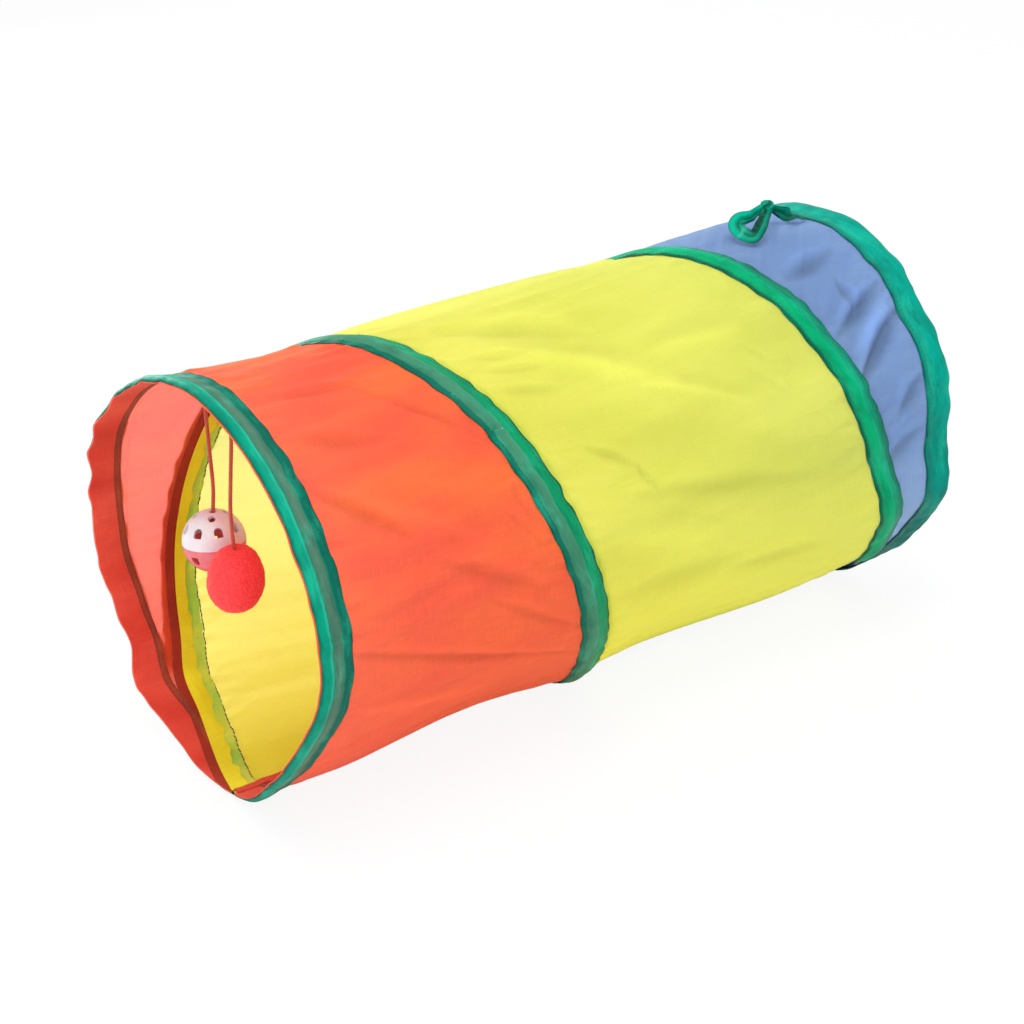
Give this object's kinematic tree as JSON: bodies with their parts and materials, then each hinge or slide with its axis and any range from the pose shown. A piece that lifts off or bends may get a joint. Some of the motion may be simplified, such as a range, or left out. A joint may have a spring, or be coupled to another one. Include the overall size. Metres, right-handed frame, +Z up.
{
  "type": "pop-up cat play tunnel",
  "caption": "Collapsible round fabric tunnel on a coiled spring wire, open at both ends, with a bell ball and a pompom hung inside the front opening.",
  "frame": {"origin": "on the floor, under the middle of the tunnel's length and width", "axes": "+Z up; +X along the tunnel from the front opening, where the toys hang, to the back opening; +Y to its side"},
  "size_m": [0.506, 0.2596, 0.2718],
  "materials": {
    "spring_steel": "round spring wire",
    "crimp_metal": "zinc-plated crimp sleeve",
    "green_tape": "satin binding tape, folded hems, stitched",
    "red_cloth": "thin crisp polyester, lets light through",
    "yellow_cloth": "thin crisp polyester, lets light through",
    "blue_cloth": "thin crisp polyester, lets light through",
    "seam_cloth": "folded seam, stitched",
    "red_cord": "twisted cord",
    "white_plastic": "smooth moulded",
    "pink_plastic": "smooth moulded",
    "bell_brass": "pressed sheet, bright",
    "pea_steel": "tumbled",
    "red_plush": "short dense pile",
    "green_ribbon": "satin ribbon, creased"
  },
  "bodies": {
    "front_end": {"front_hoop_wire": "spring_steel", "front_sleeve": "crimp_metal", "front_binding": "green_tape", "spiral_wire": "spring_steel", "spiral_binding": "green_tape", "red_panel": "red_cloth", "yellow_panel": "yellow_cloth", "blue_panel": "blue_cloth", "bottom_seam": "seam_cloth"},
    "back_end": {"back_hoop_wire": "spring_steel", "back_sleeve": "crimp_metal", "back_binding": "green_tape"},
    "ball_pivot": {"ball_cord_knot": "red_cord"},
    "ball": {"ball_cord": "red_cord", "ball_upper_half": "white_plastic", "ball_lower_half": "pink_plastic", "ball_stop_knot": "red_cord"},
    "bell": {"bell": "bell_brass"},
    "pea": {"bell_pea": "pea_steel"},
    "pompom_pivot": {"pompom_cord_knot": "red_cord"},
    "pompom": {"pompom_cord": "red_cord", "pompom": "red_plush"},
    "tie": {"tie_strap": "green_ribbon", "tie_knot": "green_ribbon", "tie_loop": "green_ribbon"}
  },
  "joints": [
    {"name": "collapse", "type": "slide", "parent": "front_end", "child": "back_end", "axis": [-1, 0, 0], "range_m": [0, 0.44], "stiffness_N_per_m": 6, "springref_m": -0.05, "deforming": ["spiral_wire", "spiral_binding", "red_panel", "yellow_panel", "blue_panel", "bottom_seam"]},
    {"name": "ball_swing", "type": "hinge", "parent": "front_end", "child": "ball_pivot", "pos_m": [-0.227, 0.02149, 0.24883], "axis": [0, 1, 0], "range_deg": [-45, 45]},
    {"name": "ball_sway", "type": "hinge", "parent": "ball_pivot", "child": "ball", "pos_m": [-0.227, 0.02149, 0.24883], "axis": [1, 0, 0], "range_deg": [-2, 35]},
    {"name": "bell_bounce", "type": "slide", "parent": "ball", "child": "bell", "axis": [0, 0, 1], "range_m": [0, 0.012]},
    {"name": "pea_bounce", "type": "slide", "parent": "bell", "child": "pea", "axis": [0, 0, 1], "range_m": [0, 0.005]},
    {"name": "pompom_swing", "type": "hinge", "parent": "front_end", "child": "pompom_pivot", "pos_m": [-0.2365, -0.01747, 0.25062], "axis": [0, 1, 0], "range_deg": [-45, 45]},
    {"name": "pompom_sway", "type": "hinge", "parent": "pompom_pivot", "child": "pompom", "pos_m": [-0.2365, -0.01747, 0.25062], "axis": [1, 0, 0], "range_deg": [-35, 2]},
    {"name": "tie_flip", "type": "hinge", "parent": "back_end", "child": "tie", "pos_m": [0.2288, 0.00443, 0.25636], "axis": [0, 1, 0], "range_deg": [0, 115]}
  ]
}
